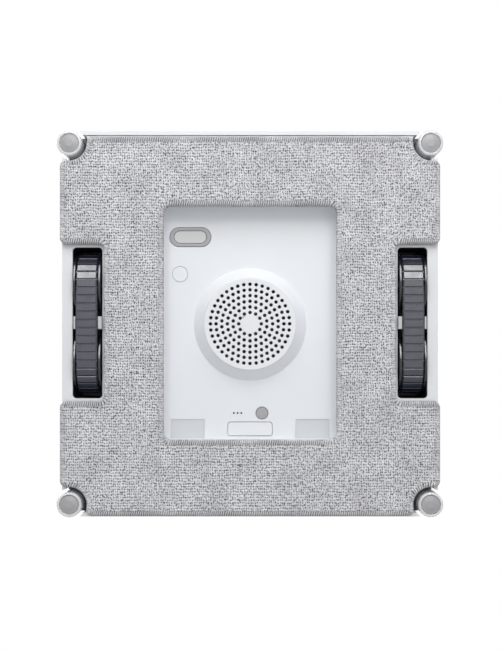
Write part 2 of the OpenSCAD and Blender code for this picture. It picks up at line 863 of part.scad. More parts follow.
// Flush plug of the round access hole
module round_plug() {
    color("#e1e4e8") translate([-plug_x, -plug_y, panel_z])
        cylinder(r = plug_r, h = panel_t - ledge_t);
}

// Flush service cover
module service_cover() {
    color("#e1e4e8") translate([0, service_y, panel_z]) linear_extrude(service_t)
        round_rect(service_l, service_w, service_r);
}

// Outline of a belt loop of radius r
module loop_outline(r) {
    stadium(wheel_base + 2 * r, 2 * r);
}

// Moves its flat child, drawn with X along the track and Y up, into the track's middle plane
module stand_on_track(width) {
    translate([track_x - width / 2, track_y, axis_z]) rotate([90, 0, 90]) linear_extrude(width) children();
}

// One groove across the belt at the share t of the way round the loop
module groove(t) {
    run = 2 * wheel_base + 2 * PI * belt_r;
    s = t * run;
    arc = PI * belt_r;
    on_low = s < wheel_base;
    on_end = !on_low && s < wheel_base + arc;
    on_top = !on_low && !on_end && s < 2 * wheel_base + arc;
    turn_a = 180 * (s - wheel_base) / arc;
    turn_b = 180 * (s - 2 * wheel_base - arc) / arc;
    place = on_low ? [s - wheel_base / 2, 0]
        : on_end ? [wheel_base / 2, turn_a]
        : on_top ? [wheel_base / 2 - (s - wheel_base - arc), 180]
        : [-wheel_base / 2, 180 + turn_b];
    translate([place[0], 0]) rotate(place[1]) translate([-groove_w / 2, -belt_r - over])
        square([groove_w, groove_d + over]);
}

// Ribbed rubber belt of one track
module track_belt(side) {
    color("#4b4e55") on_side(side) stand_on_track(belt_w) difference() {
        loop_outline(belt_r);
        loop_outline(belt_r - belt_t);
        for (i = [0:rib_count - 1]) {
            groove((i + 0.5) / rib_count);
        }
    }
}

// Fixed frame between the wheels: a slide block inside the belt with a cheek on each side
module track_frame(side) {
    block_h = 2 * (belt_r - belt_t - frame_rest);
    cheek_h = 2 * (belt_r - frame_tip);
    color("#babcc1") on_side(side) translate([track_x, track_y, axis_z]) {
        cube([2 * flange_x + over, frame_l, block_h], center = true);
        translate([-(well_w / 2 + flange_x) / 2, 0, 0])
            cube([well_w / 2 - flange_x, frame_l, cheek_h], center = true);
        translate([flange_x + tab_t / 2, 0, 0]) cube([tab_t, frame_l, cheek_h], center = true);
    }
}

// Flanged track wheel with a bore of radius bore_r
module track_wheel(side, y, bore_r) {
    color("#2b2d31") on_side(side) translate([track_x, y, axis_z]) difference() {
        union() {
            rod_x(drum_r, -flange_x, flange_x);
            rod_x(flange_r, -flange_x - flange_t, -flange_x);
            rod_x(flange_r, flange_x, flange_x + flange_t);
        }
        rod_x(hub_pocket_r, -flange_x - flange_t - over, -flange_x - flange_t + hub_pocket_t);
        rod_x(hub_pocket_r, flange_x + flange_t - hub_pocket_t, flange_x + flange_t + over);
        rod_x(bore_r, -well_w, well_w);
    }
}

// Shaft from the gearbox through the drive wheel to its outer bush
module drive_shaft(side) {
    color("#b9bcc0") on_side(side) translate([0, drive_y, axis_z])
        rod_x(shaft_r, track_x - well_w / 2 - well_wall - gearbox_l + clip_t,
            track_x + well_w / 2 + well_wall);
}

// Fixed axles of the idler wheels, with a head at both ends
module idler_axles() {
    reach = well_w / 2 + well_wall;
    color("#b9bcc0") for (s = [-1, 1]) {
        on_side(s) translate([track_x, idler_y, axis_z]) {
            rod_x(idler_axle_r, -reach, reach);
            rod_x(axle_head_r, reach, reach + axle_head_t);
            rod_x(axle_head_r, -reach - axle_head_t, -reach);
        }
    }
}

// Brass bushes that carry the outer ends of the drive shafts
module shaft_bushes() {
    reach = well_w / 2 + well_wall;
    color("#b5975a") for (s = [-1, 1]) {
        on_side(s) translate([track_x, drive_y, axis_z]) difference() {
            union() {
                rod_x(bush_r, well_w / 2, reach + bush_flange_t);
                rod_x(bush_r + bush_flange, reach, reach + bush_flange_t);
            }
            rod_x(shaft_r + run_gap, 0, reach + bush_flange_t + over);
        }
    }
}

// Planetary gearbox with its nose in the well's inner wall
module gearbox(side) {
    wall_in = track_x - well_w / 2 - well_wall;
    color("#7d8086") on_side(side) translate([0, drive_y, axis_z]) difference() {
        union() {
            rod_x(drive_motor_r, wall_in - gearbox_l, wall_in);
            rod_x(nose_r, wall_in - clip_t, wall_in + well_wall);
        }
        rod_x(shaft_r + run_gap, wall_in - gearbox_l + clip_t - run_gap, track_x);
    }
}

// Drive motor behind its gearbox, with its two terminals
module drive_motor(side) {
    front = track_x - well_w / 2 - well_wall - gearbox_l;
    color("#9ea1a6") on_side(side) translate([0, drive_y, axis_z]) difference() {
        rod_x(drive_motor_r, front - drive_motor_l, front);
        for (s = [-1, 1]) {
            translate([0, 0, s * drive_motor_r]) rod_x(clip_t, front - drive_motor_l - over, front - clip_t);
        }
    }
}

// Clips that hold the drive motors to the base floor
module motor_clips() {
    mid = track_x - well_w / 2 - well_wall - gearbox_l - drive_motor_l / 2;
    outer_r = drive_motor_r + key_gap + clip_t;
    color("#c9ccd1") for (s = [-1, 1]) {
        on_side(s) translate([mid, drive_y, 0]) difference() {
            union() {
                translate([0, 0, axis_z]) rod_x(outer_r, -clip_w / 2, clip_w / 2);
                translate([0, 0, floor_top + clip_foot_t / 2])
                    cube([clip_w, 2 * (outer_r + clip_foot), clip_foot_t], center = true);
            }
            translate([0, 0, axis_z]) rod_x(drive_motor_r + key_gap, -clip_w, clip_w);
            translate([0, 0, floor_top - outer_r])
                cube([2 * clip_w, 4 * outer_r, 2 * outer_r], center = true);
        }
    }
}

// Guide roller in the corner at (sx, sy)
module guide_roller(sx, sy) {
    color("#e9eaec") translate([sx * roller_x, sy * roller_y, roller_z]) difference() {
        rotate_extrude() {
            translate([0, roller_edge_r]) square([roller_r, roller_h - 2 * roller_edge_r]);
            square([roller_r - roller_edge_r, roller_h]);
            for (z = [roller_edge_r, roller_h - roller_edge_r]) {
                translate([roller_r - roller_edge_r, z]) circle(roller_edge_r);
            }
        }
        translate([0, 0, -over]) cylinder(r = roller_pin_r + run_gap, h = roller_h + 2 * over);
        translate([0, 0, -over])
            cylinder(r = roller_cap_r + roller_cap_gap, h = roller_cap_t + roller_rest + over);
    }
}

// Fixed pins of the guide rollers, with the disc that closes each roller
module roller_pins() {
    color("#b0b0b3") in_corners(roller_x, roller_y) {
        intersection() {
            translate([0, 0, roller_z]) cylinder(r = roller_cap_r, h = roller_cap_t);
            translate([0, 0, roller_z + cap_dome_r]) sphere(cap_dome_r);
        }
        translate([0, 0, roller_z])
            cylinder(r = roller_pin_r, h = bracket_top - 2 * roller_rest - roller_z);
    }
}

// Four cells of the backup battery
module battery_cells() {
    color("#4f7fb0") for (sx = [-1, 1], sy = [-1, 1]) {
        translate([0, battery_y + sy * (cell_r + cell_gap / 2), floor_top + holder_t + cell_r])
            rod_x(cell_r, min(0, sx * cell_l) + sx * cell_gap, max(0, sx * cell_l) + sx * cell_gap);
    }
}

// Open box that holds the cells on the base floor
module battery_holder() {
    in_l = 2 * (cell_l + 2 * cell_gap);
    in_w = 4 * cell_r + 3 * cell_gap;
    color("#3a3b3f") translate([0, battery_y, floor_top]) difference() {
        translate([0, 0, cell_r]) cube([in_l + 2 * holder_t, in_w + 2 * holder_t, 2 * cell_r], center = true);
        translate([0, 0, holder_t + cell_r + over / 2]) cube([in_l, in_w, 2 * cell_r + over], center = true);
    }
}

// Places of the four screws in the main board
module board_corners() {
    translate([0, board_y, 0]) in_corners(board_w / 2 - board_hole_in, board_l / 2 - board_hole_in)
        children();
}

// Control board with its parts, hung under the deck
module main_board() {
    color("#2f6b4a") difference() {
        union() {
            translate([0, board_y, board_z - board_t / 2]) cube([board_w, board_l, board_t], center = true);
            translate([0, start_y, board_z]) linear_extrude(tact_h) square(tact_w, center = true);
            for (i = [-2:2]) {
                translate([i * board_w / 6, board_y - board_l / 4, board_z - board_t - chip_h])
                    linear_extrude(chip_h + board_t / 2) square(board_w / 10, center = true);
            }
            for (i = [-1:1]) {
                translate([i * board_w / 4, board_y + board_l / 4, board_z - board_t - 2 * chip_h])
                    cylinder(r = board_w / 18, h = 2 * chip_h + board_t / 2);
            }
        }
        board_corners() translate([0, 0, board_z - board_t - over])
            cylinder(r = screw_r + run_gap, h = board_t + 2 * over);
    }
}

// Screws that hold the board to its standoffs
module board_screws() {
    color("#9a9da1") board_corners() translate([0, 0, board_z - board_t])
        mirror([0, 0, 1]) screw_down(board_t + board_drop - over);
}

// Outer form of the top cover, drawn in by inset on every side
module cover_form(inset) {
    steps = 6;
    sheet = 0.01;
    top = deck_z - inset;
    edge = deck_edge_r - inset;
    hull() {
        translate([0, 0, split_z]) linear_extrude(sheet, $fn = soft_fn) casing_outline(inset);
        for (i = [0:steps]) {
            a = 90 * i / steps;
            translate([0, 0, top - edge + edge * sin(a) - sheet]) linear_extrude(sheet, $fn = soft_fn)
                casing_outline(inset + side_lean + edge * (1 - cos(a)));
        }
    }
}

// Upper shell with the finger recess, screw bosses and standoffs
module top_cover() {
    color("#eceef1") difference() {
        union() {
            difference() {
                cover_form(0);
                cover_form(wall);
            }
            translate([0, 0, deck_z - finger_depth - wall]) linear_extrude(finger_depth)
                round_rect(finger_l + 2 * wall, finger_w + 2 * wall, finger_r + wall);
            for (p = post_places) {
                in_corners(p[0], p[1]) translate([0, 0, split_z])
                    cylinder(r = post_r, h = deck_z - wall / 2 - split_z);
            }
            board_corners() translate([0, 0, board_z])
                cylinder(r = standoff_r, h = board_drop + wall / 2);
        }
        translate([0, 0, deck_z - finger_depth]) linear_extrude(finger_depth + over)
            round_rect(finger_l, finger_w, finger_r);
        for (p = post_places) {
            in_corners(p[0], p[1]) translate([0, 0, split_z - over])
                cylinder(r = screw_r + run_gap, h = screw_bite + 2 * over);
        }
        board_corners() translate([0, 0, board_z - over])
            cylinder(r = screw_r + run_gap, h = board_drop + over);
        handle_screw_places() translate([0, 0, deck_under - over])
            cylinder(r = screw_r + run_gap, h = wall + 2 * over);
        translate([0, start_y, board_z])
            cylinder(r = start_r + key_gap + ring_w + run_gap, h = deck_z);
        translate([inlet_x, inlet_y, board_z]) cylinder(r = inlet_barrel_r + run_gap, h = deck_z);
        translate([0, anchor_y, board_z]) cylinder(r = stud_r + run_gap, h = deck_z);
    }
}

// Places of the handle's four screws
module handle_screw_places() {
    in_corners((handle_l - handle_leg) / 2, handle_screw_y) children();
}

// Side view of the handle: an arch over the finger recess
module handle_arch() {
    rise = overall_h - deck_z;
    inner_h = rise - handle_bar_t;
    inner_l = handle_l - 2 * handle_leg;
    outer_r = min(handle_r, rise / 2);
    inner_r = min(handle_inner_r, inner_h / 2);
    difference() {
        union() {
            translate([0, (rise - outer_r) / 2]) square([handle_l, rise - outer_r], center = true);
            translate([0, rise / 2]) square([handle_l - 2 * outer_r, rise], center = true);
            for (s = [-1, 1]) {
                translate([s * (handle_l / 2 - outer_r), rise - outer_r]) circle(outer_r);
            }
        }
        translate([0, (inner_h - inner_r - over) / 2])
            square([inner_l, inner_h - inner_r + over], center = true);
        translate([0, (inner_h - over) / 2])
            square([inner_l - 2 * inner_r, inner_h + over], center = true);
        for (s = [-1, 1]) {
            translate([s * (inner_l / 2 - inner_r), inner_h - inner_r]) circle(inner_r);
        }
    }
}

// Carry handle that bridges the finger recess
module handle() {
    color("#eceef1") difference() {
        intersection() {
            translate([0, handle_w / 2, deck_z]) rotate([90, 0, 0]) linear_extrude(handle_w) handle_arch();
            linear_extrude(overall_h + over) stadium(handle_l, handle_w);
        }
        translate([0, 0, overall_h - grip_t]) linear_extrude(grip_t + over)
            stadium(grip_l + 2 * run_gap, grip_w + 2 * run_gap);
        handle_screw_places() translate([0, 0, deck_z - over])
            cylinder(r = screw_r + run_gap, h = handle_screw_l + over);
    }
}

// Soft inlay on the handle's bar
module handle_grip() {
    color("#8f9298") translate([0, 0, overall_h - grip_t]) linear_extrude(grip_t)
        stadium(grip_l, grip_w);
}

// Screws that hold the handle from inside the cover
module handle_screws() {
    color("#9a9da1") handle_screw_places() translate([0, 0, deck_under])
        mirror([0, 0, 1]) screw_down(handle_screw_l);
}

// Light ring round the start button
module light_ring() {
    ring_r = start_r + key_gap + ring_w;
    color("#cfe3f2") translate([0, start_y, deck_under - ring_flange_t]) difference() {
        union() {
            cylinder(r = ring_r, h = wall + ring_flange_t);
            cylinder(r = ring_r + ring_flange, h = ring_flange_t);
        }
        translate([0, 0, -over]) cylinder(r = start_r + key_gap, h = wall + ring_flange_t + 2 * over);
    }
}

// Start button on the deck, pressed down
module start_button() {
    flange_z = deck_under - ring_flange_t - key_rest;
    color("#d3d5d9") translate([0, start_y, 0]) {
        translate([0, 0, flange_z - key_flange_t]) cylinder(r = start_r, h = deck_z + start_proud - flange_z + key_flange_t);
        translate([0, 0, flange_z - key_flange_t]) cylinder(r = start_r + key_flange, h = key_flange_t);
        translate([0, 0, board_z + tact_h + start_travel + key_rest])
            cylinder(r = stem_r, h = flange_z - board_z - tact_h - start_travel - key_rest);
    }
}

// Power inlet with a plug bore, a centre pin and a nut under the deck
module power_inlet() {
    color("#2d2e31") translate([inlet_x, inlet_y, deck_z]) {
        difference() {
            union() {
                cylinder(r = inlet_flange_r, h = inlet_flange_t);
                translate([0, 0, inlet_flange_t - inlet_h]) cylinder(r = inlet_barrel_r, h = inlet_h);
                translate([0, 0, -wall - inlet_nut_t]) cylinder(r = inlet_flange_r, h = inlet_nut_t);
            }
            translate([0, 0, inlet_flange_t - inlet_depth]) cylinder(r = inlet_bore_r, h = inlet_depth + over);
        }
        translate([0, 0, inlet_flange_t - inlet_depth - over])
            cylinder(r = inlet_pin_r, h = inlet_depth - inlet_pin_r + over);
    }
}

// Steel eye for the safety rope, bolted through the deck
module rope_anchor() {
    color("#a6a9ad") translate([0, anchor_y, 0]) difference() {
        union() {
            translate([0, 0, deck_z]) linear_extrude(anchor_t) round_rect(anchor_w, anchor_l, anchor_t);
            translate([0, 0, anchor_eye_z]) rod_x(anchor_lug_r, -anchor_lug_t / 2, anchor_lug_t / 2);
            translate([0, 0, (deck_z + anchor_eye_z) / 2])
                cube([anchor_lug_t, anchor_l, anchor_eye_z - deck_z], center = true);
            translate([0, 0, deck_under - nut_t]) cylinder(r = stud_r, h = wall + nut_t);
            translate([0, 0, deck_under - nut_t]) cylinder(r = nut_r, h = nut_t, $fn = nut_fn);
        }
        translate([0, 0, anchor_eye_z]) rod_x(eye_r, -anchor_lug_t, anchor_lug_t);
    }
}

// Grille of the rear vent, its flange inside the casing wall
module exhaust_grille() {
    in_w = vent_w - 2 * run_gap;
    in_h = vent_h - 2 * run_gap;
    slots = floor((in_w - vent_bar) / (vent_slot + vent_bar));
    color("#c3c6cb") translate([vent_x, body_l / 2 - wall, vent_z]) difference() {
        union() {
            translate([0, wall / 2, 0]) cube([in_w, wall, in_h], center = true);
            translate([0, -vent_flange_t / 2, 0])
                cube([vent_w + 2 * vent_flange, vent_flange_t, vent_h + 2 * vent_flange], center = true);
        }
        for (i = [0:slots - 1]) {
            translate([(i - (slots - 1) / 2) * (vent_slot + vent_bar), 0, 0])
                cube([vent_slot, 4 * wall, in_h - 2 * vent_bar], center = true);
        }
    }
}

cleaning_pad();
pad_plate();
base_tray();
roller_brackets();
centre_panel();
fan_grille();
fan_seal();
fan_housing();
impeller();
fan_shaft();
fan_motor();
motor_screws();
power_bezel();
power_button();
power_switch();
mode_button();
mode_switch();
indicator_lenses();
round_plug();
service_cover();
track_housing(-1);  // track_housing_left
track_housing(1);  // track_housing_right
housing_screws();
track_belt(-1);  // track_belt_left
track_belt(1);  // track_belt_right
track_frame(-1);  // track_frame_left
track_frame(1);  // track_frame_right
track_wheel(-1, drive_y, shaft_r);  // drive_wheel_left
track_wheel(1, drive_y, shaft_r);  // drive_wheel_right
track_wheel(-1, idler_y, idler_axle_r + run_gap);  // idler_wheel_left
track_wheel(1, idler_y, idler_axle_r + run_gap);  // idler_wheel_right
drive_shaft(-1);  // drive_shaft_left
drive_shaft(1);  // drive_shaft_right
idler_axles();
shaft_bushes();
gearbox(-1);  // gearbox_left
gearbox(1);  // gearbox_right
drive_motor(-1);  // drive_motor_left
drive_motor(1);  // drive_motor_right
motor_clips();
guide_roller(-1, -1);  // guide_roller_front_left
guide_roller(1, -1);  // guide_roller_front_right
guide_roller(-1, 1);  // guide_roller_rear_left
guide_roller(1, 1);  // guide_roller_rear_right
roller_pins();
battery_cells();
battery_holder();
main_board();
board_screws();
top_cover();
handle();
handle_grip();
handle_screws();
start_button();
light_ring();
power_inlet();
rope_anchor();
exhaust_grille();
casing_screws();
panel_screws();
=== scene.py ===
import json
import math

import bmesh
import bpy
import numpy as np
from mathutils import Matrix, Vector


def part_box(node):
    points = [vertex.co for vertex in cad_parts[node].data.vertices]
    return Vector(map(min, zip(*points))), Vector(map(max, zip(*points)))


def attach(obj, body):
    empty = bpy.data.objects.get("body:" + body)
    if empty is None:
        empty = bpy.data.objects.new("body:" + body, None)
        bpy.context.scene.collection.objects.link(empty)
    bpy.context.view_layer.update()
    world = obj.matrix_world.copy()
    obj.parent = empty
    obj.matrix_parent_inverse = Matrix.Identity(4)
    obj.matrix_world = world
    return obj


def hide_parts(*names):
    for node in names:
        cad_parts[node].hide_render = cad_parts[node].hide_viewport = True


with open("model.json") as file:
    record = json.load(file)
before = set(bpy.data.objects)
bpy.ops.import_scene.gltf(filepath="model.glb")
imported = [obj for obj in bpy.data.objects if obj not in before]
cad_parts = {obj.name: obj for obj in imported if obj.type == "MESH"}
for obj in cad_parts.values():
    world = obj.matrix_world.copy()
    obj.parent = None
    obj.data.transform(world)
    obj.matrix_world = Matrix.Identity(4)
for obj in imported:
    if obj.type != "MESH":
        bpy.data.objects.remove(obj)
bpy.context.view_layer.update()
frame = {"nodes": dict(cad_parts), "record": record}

MM = 0.001
SLOT_OF = {s["node"]: s["material_slot"] for s in frame["record"]["subparts"]}

# Camera: it looks straight up at the wiping face, as through the window pane
CAMERA_DISTANCE = 670 * MM
CAMERA_Y = 16.6 * MM
SENSOR = 36
FRAME_LONG_SIDE_PX = 650
AXIS_BELOW_MIDDLE_PX = 25
LENS = 58.95

camera_data = bpy.data.cameras.new("camera")
camera_data.lens = LENS
camera_data.sensor_width = SENSOR
camera_data.shift_y = AXIS_BELOW_MIDDLE_PX / FRAME_LONG_SIDE_PX
camera = bpy.data.objects.new("camera", camera_data)
camera.location = (0, CAMERA_Y, -CAMERA_DISTANCE)
camera.rotation_euler = (math.pi, 0, 0)
bpy.context.scene.collection.objects.link(camera)
bpy.context.scene.camera = camera
bpy.context.scene.view_settings.view_transform = "Standard"


# Light: a pale room, a broad key lamp near the camera and one lamp overhead. Upright lamps stand past the
# photograph's top edge, where the belts mirror them.
AMBIENT = 0.42
FLOOR_DROP = 0.3 * MM
FLOOR_SIZE = 8.0
FLOOR_WHITE = 0.86
FLOOR_LIFT = 0.5
KEY_LAMP = {"place": (0.2, 0.05, -1.08), "size": (1.2, 1.2), "power": 2.1}
OVERHEAD_LAMP = {"place": (-0.5, -0.6, 1.3), "size": (1.0, 1.0), "power": 15.0}
BELT_LAMP_X = 0.27
BELT_LAMPS = {
    "strip": {"y": -0.82, "z": -0.8, "size": (0.16, 0.85), "power": 4.1, "gloss_only": False},
    "glint": {"y": -1.0, "z": -0.6, "size": (0.16, 1.2), "power": 5.6, "gloss_only": True},
    "sheen": {"y": -0.46, "z": -0.98, "size": (0.2, 0.5), "power": 2.4, "gloss_only": True},
}


def area_lamp(name, place, size, power):
    """A soft box of (width, height) size at place, turned to the object."""
    data = bpy.data.lights.new(name, "AREA")
    data.shape = "RECTANGLE"
    data.size, data.size_y = size
    data.energy = power
    lamp = bpy.data.objects.new(name, data)
    lamp.location = place
    lamp.rotation_euler = (-Vector(place)).to_track_quat("-Z", "Y").to_euler()
    bpy.context.scene.collection.objects.link(lamp)
    return lamp


def make_world():
    """A pale world that shows white to the camera and in reflections."""
    world = bpy.data.worlds.new("room")
    bpy.context.scene.world = world
    world.use_nodes = True
    tree = world.node_tree
    tree.nodes.clear()
    path = tree.nodes.new("ShaderNodeLightPath")
    seen = path.outputs["Is Camera Ray"]
    for name in ("Is Glossy Ray", "Is Transmission Ray"):
        larger = tree.nodes.new("ShaderNodeMath")
        larger.operation = "MAXIMUM"
        tree.links.new(seen, larger.inputs[0])
        tree.links.new(path.outputs[name], larger.inputs[1])
        seen = larger.outputs[0]
    mix = tree.nodes.new("ShaderNodeMixShader")
    tree.links.new(seen, mix.inputs[0])
    for place, strength in ((1, AMBIENT), (2, 1.0)):
        background = tree.nodes.new("ShaderNodeBackground")
        background.inputs["Color"].default_value = (1, 1, 1, 1)
        background.inputs["Strength"].default_value = strength
        tree.links.new(background.outputs[0], mix.inputs[place])
    output = tree.nodes.new("ShaderNodeOutputWorld")
    tree.links.new(mix.outputs[0], output.inputs["Surface"])


def make_floor():
    """A pale floor that is seen from above and is clear from below, where the pane is."""
    bpy.ops.mesh.primitive_plane_add(size=FLOOR_SIZE, location=(0, 0, -FLOOR_DROP))
    floor = bpy.context.object
    floor.name = "floor"
    material = bpy.data.materials.new("floor")
    material.use_nodes = True
    tree = material.node_tree
    tree.nodes.clear()
    geometry = tree.nodes.new("ShaderNodeNewGeometry")
    paint = tree.nodes.new("ShaderNodeBsdfDiffuse")
    paint.inputs["Color"].default_value = (FLOOR_WHITE, FLOOR_WHITE, FLOOR_WHITE, 1)
    path = tree.nodes.new("ShaderNodeLightPath")
    lift = tree.nodes.new("ShaderNodeMath")
    lift.operation = "MULTIPLY"
    lift.inputs[1].default_value = FLOOR_LIFT
    glow = tree.nodes.new("ShaderNodeEmission")
    lifted = tree.nodes.new("ShaderNodeAddShader")
    clear = tree.nodes.new("ShaderNodeBsdfTransparent")
    mix = tree.nodes.new("ShaderNodeMixShader")
    output = tree.nodes.new("ShaderNodeOutputMaterial")
    tree.links.new(geometry.outputs["Backfacing"], mix.inputs[0])
    tree.links.new(path.outputs["Is Camera Ray"], lift.inputs[0])
    tree.links.new(lift.outputs[0], glow.inputs["Strength"])
    tree.links.new(paint.outputs[0], lifted.inputs[0])
    tree.links.new(glow.outputs[0], lifted.inputs[1])
    tree.links.new(lifted.outputs[0], mix.inputs[1])
    tree.links.new(clear.outputs[0], mix.inputs[2])
    tree.links.new(mix.outputs[0], output.inputs["Surface"])
    floor.data.materials.append(material)
    floor.visible_shadow = False
    floor.visible_diffuse = False
    floor.visible_glossy = False


make_world()
make_floor()
area_lamp("key", **KEY_LAMP)
for side in (-1, 1):
    for name, kind in BELT_LAMPS.items():
        place = (side * BELT_LAMP_X, kind["y"], kind["z"])
        lamp = area_lamp(name, place, kind["size"], kind["power"])
        lamp.visible_diffuse = not kind["gloss_only"]
area_lamp("overhead", **OVERHEAD_LAMP)


# Materials
CLOUD_SIZE = 35 * MM
SMEAR_SIZE = 9 * MM
PAINTED_LIGHT_BLEND = 0.4 * MM
DRAWN_LINE = 0.5 * MM
BLOOM_SIZE = 5 * MM
RUBBER_GRAIN = 0.4 * MM
BOARD_TRACK_PITCH = 2.2 * MM
BOARD_GRAIN = 0.6 * MM
PIT_PITCH_X = 1.42 * MM
PIT_PITCH_Y = 1.72 * MM
PIT_RANDOMNESS = 0.46
PIT_DRIFT = 2.0 * MM
PIT_DRIFT_SIZE = 9 * MM
PIT_CLOSED_SIZE = 2.0 * MM
MIDDLE_SHARE = 0.65
FUZZ_SIZE = 0.5 * MM
FUZZ_DEPTH = 0.12 * MM
PATCH_SIZE = 16 * MM
PATCH_TONE = (0.8, 0.8, 0.81, 1)
WHITE = (1, 1, 1, 1)
BLACK = (0, 0, 0, 1)


def linear(red, green, blue):
    """A colour as it shows on screen, 0 to 255, in Blender's linear values."""
    shares = [c / 255 for c in (red, green, blue)]
    return [((c + 0.055) / 1.055) ** 2.4 if c > 0.04045 else c / 12.92 for c in shares]


def between(ends, share):
    """From ends[0] where share is 0 to ends[1] where it is 1."""
    return ends[0] + (ends[1] - ends[0]) * share


def shade(colour, factor):
    return [min(1.0, c * factor) for c in colour] + [1]


class Look:
    """One material's node tree, with short calls for what its surfaces are made of."""

    def __init__(self, name, roughness, specular=0.5, metallic=0.0, **settings):
        self.material = bpy.data.materials.new(name)
        self.material.use_nodes = True
        self.tree = self.material.node_tree
        self.bsdf = self.tree.nodes["Principled BSDF"]
        self.bsdf.inputs["Roughness"].default_value = roughness
        self.bsdf.inputs["Specular IOR Level"].default_value = specular
        self.bsdf.inputs["Metallic"].default_value = metallic
        for socket, value in settings.items():
            self.bsdf.inputs[socket.replace("_", " ").title()].default_value = value
        self.place = self.tree.nodes.new("ShaderNodeTexCoord").outputs["Object"]

    def node(self, kind, inputs=(), **settings):
        made = self.tree.nodes.new("ShaderNode" + kind)
        for key, value in settings.items():
            setattr(made, key, value)
        for key, value in dict(inputs).items():
            if isinstance(value, bpy.types.NodeSocket):
                self.tree.links.new(value, made.inputs[key])
            else:
                made.inputs[key].default_value = value
        return made

    def stretched(self, x, y, z):
        """The place on the piece with each axis scaled."""
        return self.node("Mapping", {"Vector": self.place, "Scale": (x, y, z)}).outputs["Vector"]

    def noise(self, size, detail=2.0, place=None):
        """Cloudy noise, 0 to 1, whose features are about size across, in metres."""
        inputs = {"Vector": place or self.place, "Scale": 1 / size, "Detail": detail}
        return self.node("TexNoise", inputs).outputs["Fac"]

    def spread(self, value, low, high, start=0.3, stop=0.7):
        """value from start to stop, as low to high."""
        inputs = {"Value": value, "From Min": start, "From Max": stop, "To Min": low, "To Max": high}
        return self.node("MapRange", inputs).outputs["Result"]

    def ramp(self, value, stops):
        """Colours along value, from (place, colour) stops."""
        made = self.node("ValToRGB", {"Fac": value})
        elements = made.color_ramp.elements
        while len(elements) < len(stops):
            elements.new(0.5)
        for element, (place, colour) in zip(elements, stops):
            element.position = place
            element.color = colour
        return made.outputs["Color"]

    def mix(self, factor, first, second, blend="MIX"):
        made = self.node("Mix", {0: factor}, data_type="RGBA", blend_type=blend)
        for socket, value in ((made.inputs[6], first), (made.inputs[7], second)):
            if isinstance(value, bpy.types.NodeSocket):
                self.tree.links.new(value, socket)
            else:
                socket.default_value = value
        return made.outputs[2]

    def colour(self, value):
        self.tree.links.new(value, self.bsdf.inputs["Base Color"])

    def roughness(self, value):
        self.tree.links.new(value, self.bsdf.inputs["Roughness"])

    def bump(self, height, depth, strength=1.0):
        """Raises the surface by depth metres where height is 1."""
        inputs = {"Height": height, "Distance": depth, "Strength": strength}
        bumped = self.node("Bump", inputs)
        self.tree.links.new(bumped.outputs["Normal"], self.bsdf.inputs["Normal"])


def moulded(name, colour, roughness, grain=0.5 * MM, depth=0.006 * MM, mottle=0.02, painted_light_by_depth=None, **settings):
    """Moulded plastic: a faint cloud in its colour and gloss, and a fine eroded grain.

    A (height, factor) pair past which the colour takes the factor: painted shade in recesses where the factor
    is below 1, painted light where it is above 1.
    """
    look = Look(name, roughness, **settings)
    cloud = look.noise(CLOUD_SIZE, 3.0)
    tone = look.ramp(cloud, [(0.3, shade(colour, 1 - mottle)), (0.7, shade(colour, 1 + mottle))])
    # Painted light and shade: past the given height the colour is scaled by the factor
    if painted_light_by_depth:
        height = look.node("SeparateXYZ", {0: look.place}).outputs["Z"]
        start, factor = painted_light_by_depth
        tone = look.mix(1.0, tone, look.spread(height, 1.0, factor, start, start + PAINTED_LIGHT_BLEND), "MULTIPLY")
    look.colour(tone)
    smear = look.noise(SMEAR_SIZE, 4.0)
    look.roughness(look.spread(smear, roughness * 0.88, roughness * 1.14))
    look.bump(look.noise(grain, 2.0), depth)
    return look.material


def turned_metal(name, colour, roughness=0.32):
    """Metal with fine drawn lines along Y and a slight cloud."""
    look = Look(name, roughness, metallic=1.0)
    lines = look.noise(DRAWN_LINE, 3.0, look.stretched(1, 0.06, 1))
    look.colour(look.ramp(lines, [(0.3, shade(colour, 0.86)), (0.7, shade(colour, 1.08))]))
    look.roughness(look.spread(lines, roughness * 0.8, roughness * 1.3))
    look.bump(lines, 0.01 * MM)
    return look.material


def rubber(name, colour, roughness=0.55, specular=0.45):
    """Moulded rubber with a dusty bloom."""
    look = Look(name, roughness, specular=specular)
    bloom = look.noise(BLOOM_SIZE, 5.0)
    look.colour(look.ramp(bloom, [(0.35, shade(colour, 0.9)), (0.7, shade(colour, 1.12))]))
    look.roughness(look.spread(bloom, roughness * 0.85, roughness * 1.15))
    look.bump(look.noise(RUBBER_GRAIN, 3.0), 0.02 * MM)
    return look.material


def circuit_board(name, colour):
    """Green lacquer over fine tracks."""
    look = Look(name, 0.35)
    inputs = {"Vector": look.place, "Scale": 1 / BOARD_TRACK_PITCH}
    tracks = look.node("TexVoronoi", inputs, distance="MANHATTAN")
    stops = [(0.35, shade(colour, 1.25)), (0.5, shade(colour, 0.85))]
    look.colour(look.ramp(tracks.outputs["Distance"], stops))
    look.bump(look.noise(BOARD_GRAIN), 0.01 * MM)
    return look.material


